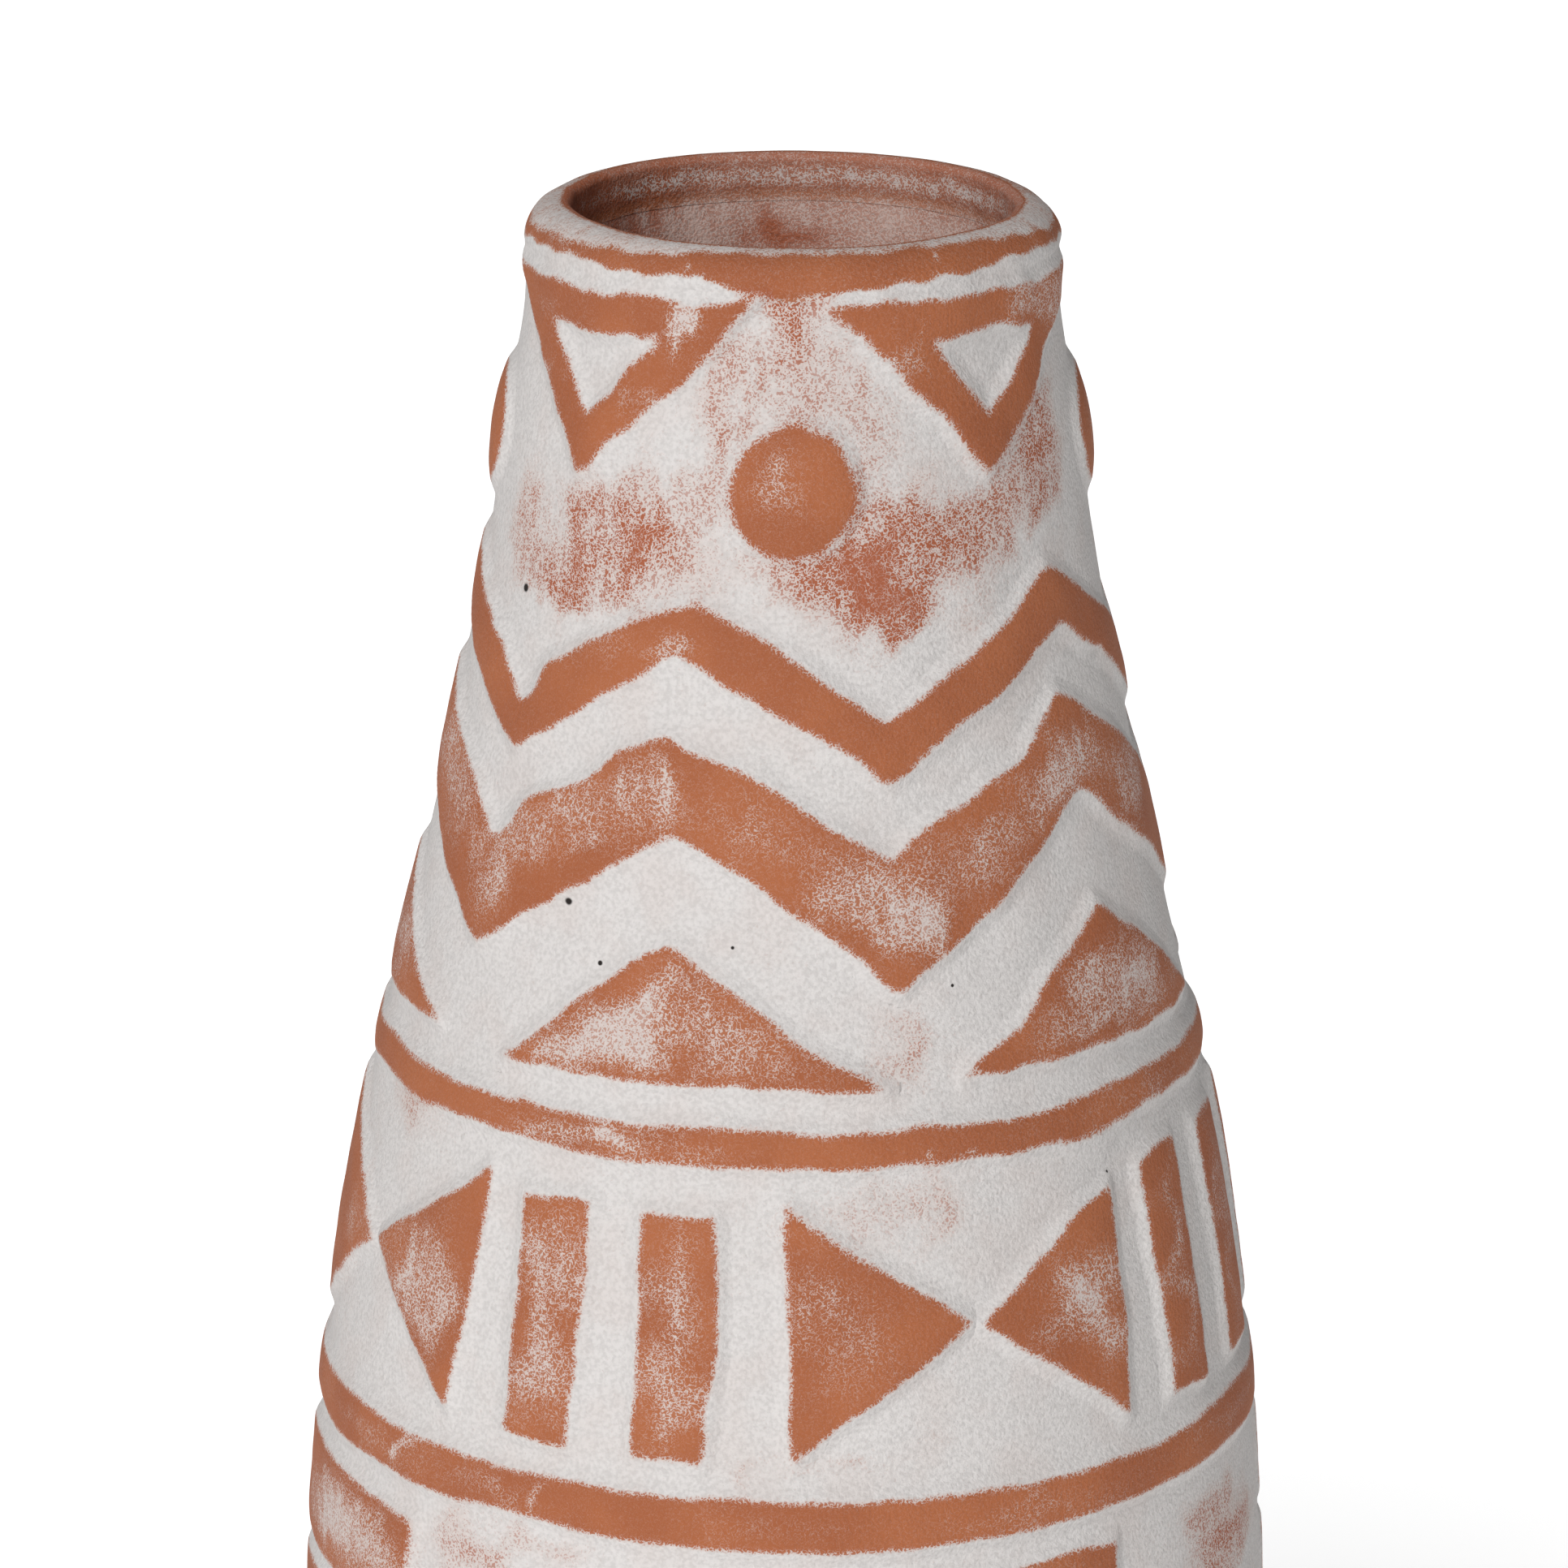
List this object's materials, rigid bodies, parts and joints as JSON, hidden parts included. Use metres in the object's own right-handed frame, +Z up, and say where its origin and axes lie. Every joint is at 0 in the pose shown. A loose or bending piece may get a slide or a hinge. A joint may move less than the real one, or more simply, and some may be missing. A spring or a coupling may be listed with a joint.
{
  "type": "terracotta vase",
  "caption": "Tall unglazed terracotta vase with a rolled lip and raised geometric clay relief under a worn whitewash, for dried stems, branches or standing empty as an ornament.",
  "frame": {"origin": "centre of the foot ring's resting plane, on the vase's axis", "axes": "+Z up along the vase's axis, -Y towards the front dot and the viewer, +X to the viewer's right"},
  "size_m": [0.1804, 0.1804, 0.4],
  "materials": {
    "whitewashed_clay": "matte chalky white slip over terracotta, with worn reddish patches",
    "raised_clay": "matte bare terracotta, with white slip left in its grain and along its edges",
    "rim_clay": "matte terracotta lip, white over the crown and worn bare on its inner and outer edges"
  },
  "bodies": {
    "root": {"body_wall": "whitewashed_clay", "floor_slab": "whitewashed_clay", "foot_ring": "whitewashed_clay", "lip_roll": "rim_clay", "neck_triangle_1": "raised_clay", "neck_triangle_2": "raised_clay", "neck_triangle_3": "raised_clay", "neck_triangle_4": "raised_clay", "dot_1": "raised_clay", "dot_2": "raised_clay", "dot_3": "raised_clay", "dot_4": "raised_clay", "upper_zigzag": "raised_clay", "lower_zigzag": "raised_clay", "shoulder_triangle_1": "raised_clay", "shoulder_triangle_2": "raised_clay", "shoulder_triangle_3": "raised_clay", "shoulder_triangle_4": "raised_clay", "shoulder_triangle_5": "raised_clay", "upper_band": "raised_clay", "bow_east_1": "raised_clay", "bow_east_2": "raised_clay", "bow_east_3": "raised_clay", "bow_east_4": "raised_clay", "bow_west_1": "raised_clay", "bow_west_2": "raised_clay", "bow_west_3": "raised_clay", "bow_west_4": "raised_clay", "bar_1": "raised_clay", "bar_2": "raised_clay", "bar_3": "raised_clay", "bar_4": "raised_clay", "bar_5": "raised_clay", "bar_6": "raised_clay", "bar_7": "raised_clay", "bar_8": "raised_clay", "middle_band": "raised_clay", "block_upper_1": "raised_clay", "block_upper_2": "raised_clay", "block_upper_3": "raised_clay", "block_upper_4": "raised_clay", "block_lower_1": "raised_clay", "block_lower_2": "raised_clay", "block_lower_3": "raised_clay", "block_lower_4": "raised_clay", "lower_band": "raised_clay", "base_triangle_1": "raised_clay", "base_triangle_2": "raised_clay", "base_triangle_3": "raised_clay", "base_triangle_4": "raised_clay", "base_triangle_5": "raised_clay", "base_zigzag": "raised_clay"}
  },
  "joints": []
}
